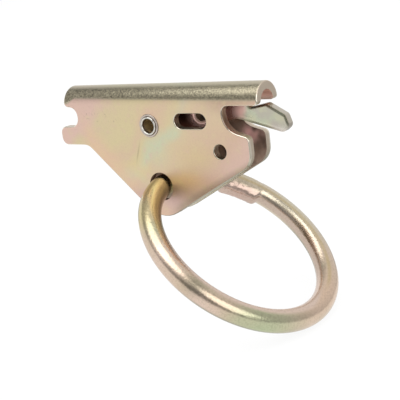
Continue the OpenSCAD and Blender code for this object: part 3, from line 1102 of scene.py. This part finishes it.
# Painted shade on the inner stretch by the hole.
by_hole = soft_step(out, -0.8 * MM, -2.6 * MM) * (1 - from_hole)
colour = blend_tint(under * 0.9 + by_hole * 0.4, colour, SHADE)
fine = noise(place, 0.55 * MM, 4.0)
connect(shader, "Base Color", blend_tint(soft_step(fine, 0.55, 0.35) * 0.14, colour, OLIVE))
connect(shader, "Roughness", 0.16 + fine * 0.12)
connect(shader, "Normal", bump(fine, 0.055 * MM))
print("bar finish:", len(bar_finish.node_tree.nodes), "nodes")

# %% [markdown]
# The rivet is brighter than the sheet. Two dark lines run round it, painted shade where its bead meets the
# plate and in the groove between the bead and the lip. The bore is a dull brown. The spring is plain drawn
# wire.

# %% The rivet's and spring's finishes
BORE_BROWN = tint(200, 182, 140)
BEAD_GREY = tint(200, 188, 178)
LIP_WHITE = tint(216, 214, 206)
SEAT_DARK = tint(96, 84, 74)
LINE_WIDTH = 0.16 * MM
WIRE_DARK = tint(150, 146, 138)
WIRE_PALE = tint(178, 172, 160)

rivet_finish, shader, start = metal("bright_rivet_finish")
place = place_of(start)
fine = noise(place, 0.8 * MM, 2.0)
depth = abs(axes(place)[1])
deep = soft_step(depth, PLATE_Y - 0.1 * MM, PLATE_Y - 0.9 * MM)
lip = soft_step(depth, PLATE_Y + BEAD_HEIGHT, PLATE_Y + BEAD_HEIGHT + 0.1 * MM)
colour = blend_tint(lip, BEAD_GREY, LIP_WHITE)
radius = vectors("DISTANCE", vectors("MULTIPLY", place, (1, 0, 1)), PIVOT, "Value")
# Painted shade in the groove and where the bead meets the plate.
groove_shade = soft_step(abs(radius - GROOVE_R), LINE_WIDTH, 0.03 * MM)
seat_shade = soft_step(radius, HEAD_R - LINE_WIDTH, HEAD_R - 0.02 * MM)
colour = blend_tint((groove_shade + seat_shade) * 0.8, colour, SEAT_DARK)
connect(shader, "Base Color", blend_tint(deep, colour, BORE_BROWN))
connect(shader, "Roughness", 0.3 - lip * 0.16 + deep * 0.35 + fine * 0.08)

wire_finish, shader, start = metal("spring_wire_finish")
fine = noise(place_of(start), 0.5 * MM, 2.0)
connect(shader, "Base Color", blend_tint(fine, WIRE_DARK, WIRE_PALE))
connect(shader, "Roughness", 0.25 + fine * 0.15)
print("rivet and spring finishes made")

# %% [markdown]
# Each piece now takes its finishes, in the order of the slots that its faces were marked with.

# %% Dress the pieces
FINISHES = {
    body: (sheet_finish, sheet_edge, inside_finish),
    latch: (latch_finish, latch_edge),
    rivet: (rivet_finish,),
    spring: (wire_finish,),
    ring: (bar_finish,),
}
for piece, finishes in FINISHES.items():
    marks = [face.material_index for face in piece.data.polygons]
    piece.data.materials.clear()
    for finish in finishes:
        piece.data.materials.append(finish)
    piece.data.polygons.foreach_set("material_index", marks)
print("dressed:", [piece.name for piece in FINISHES])

# %% [markdown]
# ## The studio
#
# Polished metal shows its surroundings, so the studio is most of its look. The fitting stands over a white
# table in a dimmer room. The table's edges draw the dark lines along the roll and the ring, and two soft
# boxes give the bright ones. The camera is set by its place and by the three angles at which it is held.

# %% Floor and camera
FLOOR_DROP = 0.2 * MM
FLOOR_SIZE = 6.0
CAMERA_AT = Vector((171.4, -215.2, 42.8)) * MM
AZIMUTH = math.radians(37.06)
ELEVATION = math.radians(15.32)
ROLL = math.radians(-7.47)
LENS = 79.98
SENSOR = 36
NEAR_CLIP = 10 * MM

deselect_all()
bpy.ops.mesh.primitive_plane_add(size=FLOOR_SIZE, location=(0, 0, cad_box[0].z - FLOOR_DROP))
floor = bpy.context.view_layer.objects.active
floor.name = "floor"

reach = math.cos(ELEVATION)
back = Vector((math.sin(AZIMUTH) * reach, -math.cos(AZIMUTH) * reach, math.sin(ELEVATION)))
sideways = Vector((math.cos(AZIMUTH), math.sin(AZIMUTH), 0))
right = sideways * math.cos(ROLL) + back.cross(sideways) * math.sin(ROLL)
upward = back.cross(right)
lens = bpy.data.cameras.new("camera")
lens.lens = LENS
lens.sensor_width = SENSOR
lens.clip_start = NEAR_CLIP
camera = bpy.data.objects.new("camera", lens)
bpy.context.scene.collection.objects.link(camera)
camera.matrix_world = Matrix.Translation(CAMERA_AT) @ Matrix((right, upward, back)).transposed().to_4x4()
bpy.context.scene.camera = camera
print("camera", [round(c / MM) for c in CAMERA_AT], "mm from the origin")

# %% [markdown]
# The floor's plane is a white table with its right and back edges near, and past them it stands for the
# dim room. A mirrored ray sees it so. A ray from the camera sees plain white with a tenth of a matt floor
# in it, which keeps a soft shadow, and a scattered ray meets the matt floor alone.

# %% The floor's finish
TABLE_RIGHT = 0.09
TABLE_BACK = 0.08
TABLE_SOFT = 0.025
FLOOR_WHITE = 1.0
BEYOND_BACK = 0.57
BEYOND_FRONT = 0.45
CAMERA_SHARE = 0.9
WHITE = (1, 1, 1, 1)
MATT_WHITE = (0.9, 0.9, 0.9, 1)


def ray(shade, name):
    """1 for one kind of ray, by the name of its output on the Light Path node."""
    return shade.node("ShaderNodeLightPath", output=name)


floor_finish = bpy.data.materials.new("floor_finish")
floor_finish.use_nodes = True
floor_finish.node_tree.nodes.clear()
start = Shade(floor_finish.node_tree)
along, through, _ = axes(place_of(start))
on_table = soft_step(along, TABLE_RIGHT + TABLE_SOFT, TABLE_RIGHT - TABLE_SOFT)
on_table = on_table * soft_step(through, TABLE_BACK + TABLE_SOFT, TABLE_BACK - TABLE_SOFT)
mirrored = start.sum("MAXIMUM", ray(start, "Is Glossy Ray"), ray(start, "Is Transmission Ray"))
beyond = BEYOND_FRONT + soft_step(through, -0.1, 0.25) * (BEYOND_BACK - BEYOND_FRONT)
level = 1 - mirrored * (1 - beyond - on_table * (FLOOR_WHITE - beyond))
glow = start.node("ShaderNodeEmission", {}, {"Color": WHITE, "Strength": level})
painted = start.node("ShaderNodeBsdfDiffuse", {}, {"Color": MATT_WHITE})
share = start.sum("MAXIMUM", mirrored, ray(start, "Is Camera Ray") * CAMERA_SHARE)
mixed = start.node("ShaderNodeMixShader", {}, {0: share, 1: painted, 2: glow})
start.node("ShaderNodeOutputMaterial", {}, {0: mixed})
floor.data.materials.append(floor_finish)
print("floor finish:", len(floor_finish.node_tree.nodes), "nodes")

# %% [markdown]
# The world beyond the floor is painted the same way. A white sweep climbs to the left, a paler backdrop
# stands behind, and the rest of the room is dim, with a glow high in front and a lighter ceiling.
# Scattered rays get an even dome of light, and the camera sees white.

# %% The room beyond the floor
ROOM = 0.29
ROOM_LEFT = 0.4
BACKDROP = 0.72
SWEEP_TILT = 0.45
SWEEP_LEVEL = 0.04
BEHIND = 0.82
RIGHT_DROP = 0.13
CEILING = 0.2
FRONT_GLOW = 0.45
DOME = 1.25

world = bpy.data.worlds.new("studio")
bpy.context.scene.world = world
world.use_nodes = True
world.node_tree.nodes.clear()
start = Shade(world.node_tree)
along, through, up = axes(start.node("ShaderNodeTexCoord", output="Generated"))
sweep = soft_step(up + along * SWEEP_TILT - SWEEP_LEVEL, 0.08, -0.08)
behind = soft_step(through + along * 0.4, 0.05, 0.38)
room = ROOM + soft_step(along, -0.1, -0.7) * (ROOM_LEFT - ROOM)
far = BACKDROP + soft_step(through, 0.5, 0.95) * (BEHIND - BACKDROP)
far = far - soft_step(along, 0.3, 0.8) * RIGHT_DROP
room = room + soft_step(up, 0.3, 0.75) * soft_step(through, -0.3, -0.7) * FRONT_GLOW
level = room + behind * (far - room) + soft_step(up, 0.4, 1.0) * CEILING
level = level + sweep * (FLOOR_WHITE - level)
level = level + ray(start, "Is Diffuse Ray") * (DOME - level)
level = level + ray(start, "Is Camera Ray") * (1 - level)
sky = start.node("ShaderNodeBackground", {}, {"Color": WHITE, "Strength": level})
start.node("ShaderNodeOutputWorld", {}, {0: sky})
print("world:", len(world.node_tree.nodes), "nodes")

# %% [markdown]
# Two oval soft boxes do the rest: a wide one overhead, a little to the front, and a smaller one on the
# right. Each is set by its direction, its distance, the two half angles that it fills and its brightness.

# %% Soft boxes
SOFT_BOXES = {
    "top_box": ((-0.06, -0.33, 0.94), 0.6, (30, 27.5), 1.7),
    "side_box": ((0.84, -0.37, 0.4), 0.7, (22, 23), 1.65),
}
MIDDLE = (cad_box[0] + cad_box[1]) / 2

for name, (way, distance, spread, glow) in SOFT_BOXES.items():
    lamp = bpy.data.lights.new(name, "AREA")
    lamp.shape = "ELLIPSE"
    lamp.size, lamp.size_y = [2 * distance * math.tan(math.radians(angle)) for angle in spread]
    lamp.energy = glow * math.pi * math.pi * lamp.size * lamp.size_y / 4
    box = bpy.data.objects.new(name, lamp)
    bpy.context.scene.collection.objects.link(box)
    aim = Vector(way).normalized()
    box.location = MIDDLE + aim * distance
    box.rotation_euler = aim.to_track_quat("Z", "Y").to_euler()
print("soft boxes:", list(SOFT_BOXES))

# %% [markdown]
# Last, the view transform is set to Standard.

# %% Finish
bpy.context.scene.view_settings.view_transform = "Standard"
